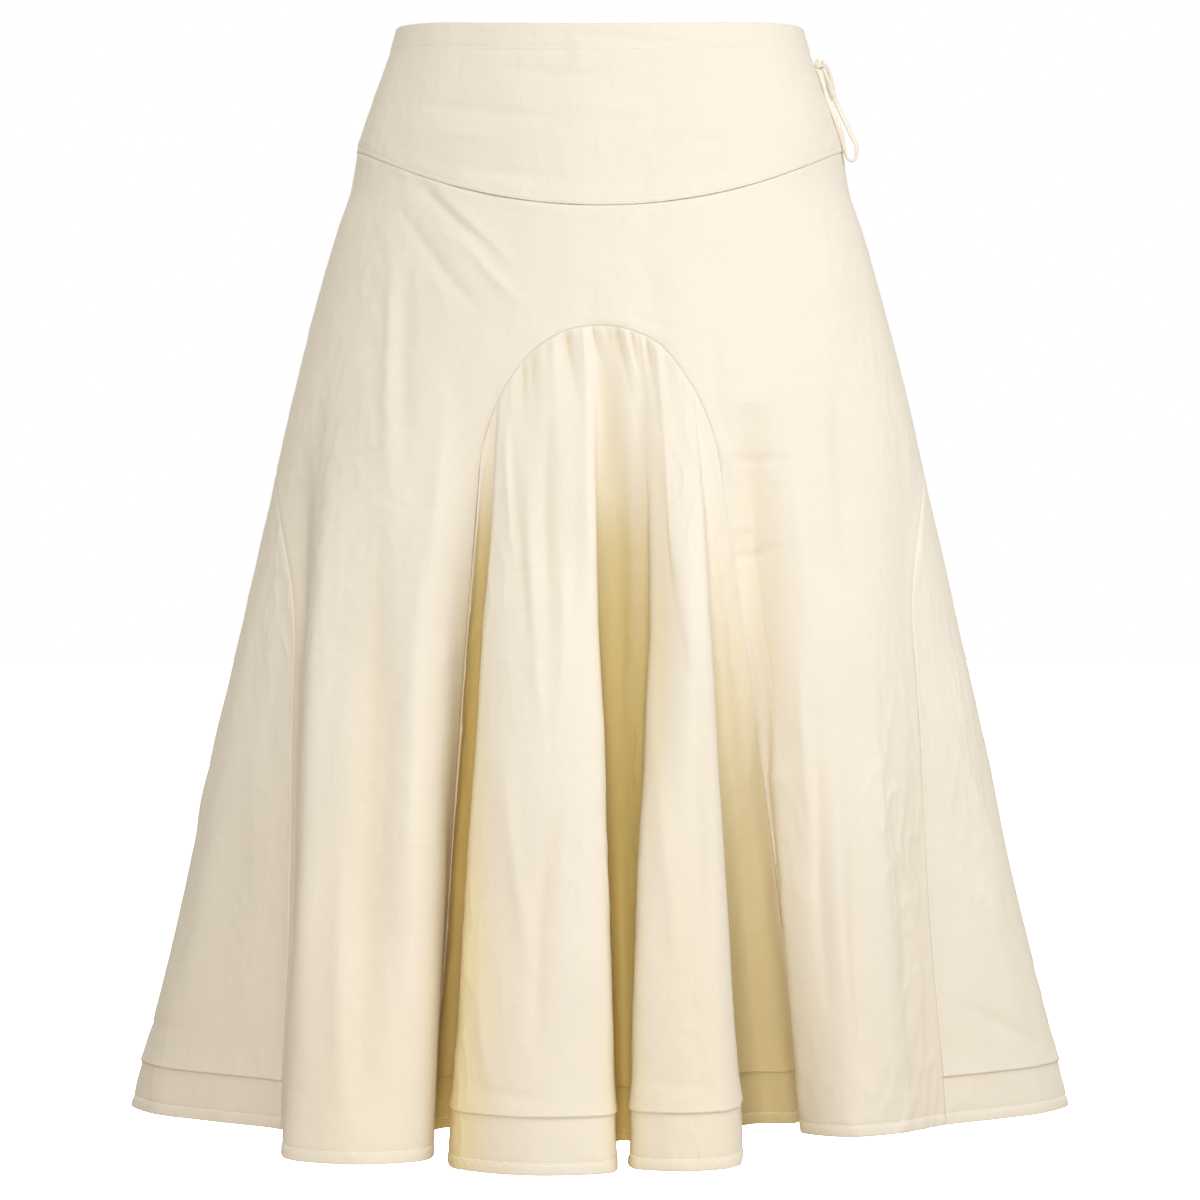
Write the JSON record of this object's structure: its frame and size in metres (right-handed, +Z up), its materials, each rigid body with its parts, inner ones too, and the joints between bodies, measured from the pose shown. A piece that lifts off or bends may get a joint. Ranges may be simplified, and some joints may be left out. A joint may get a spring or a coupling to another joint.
{
  "type": "midi skirt",
  "caption": "Flared midi skirt of firm cotton with a deep shaped yoke, an arched gathered front insert, side inserts and a narrow side tie.",
  "frame": {"origin": "middle of the waist opening, level with the waist's edge at the sides, where a waist holds the skirt up", "axes": "+Z up, -Y towards the front of the skirt, +X towards the wearer's left"},
  "size_m": [0.6352, 0.5501, 0.7381],
  "materials": {
    "cotton": "matt",
    "tie": "matt"
  },
  "bodies": {
    "root": {"front_yoke": "cotton", "back_yoke": "cotton", "front_panel": "cotton", "front_godet": "cotton", "back_panel": "cotton", "left_insert": "cotton", "right_insert": "cotton", "tie_knot": "tie", "tie_long_loop": "tie", "tie_short_loop": "tie"}
  },
  "joints": []
}
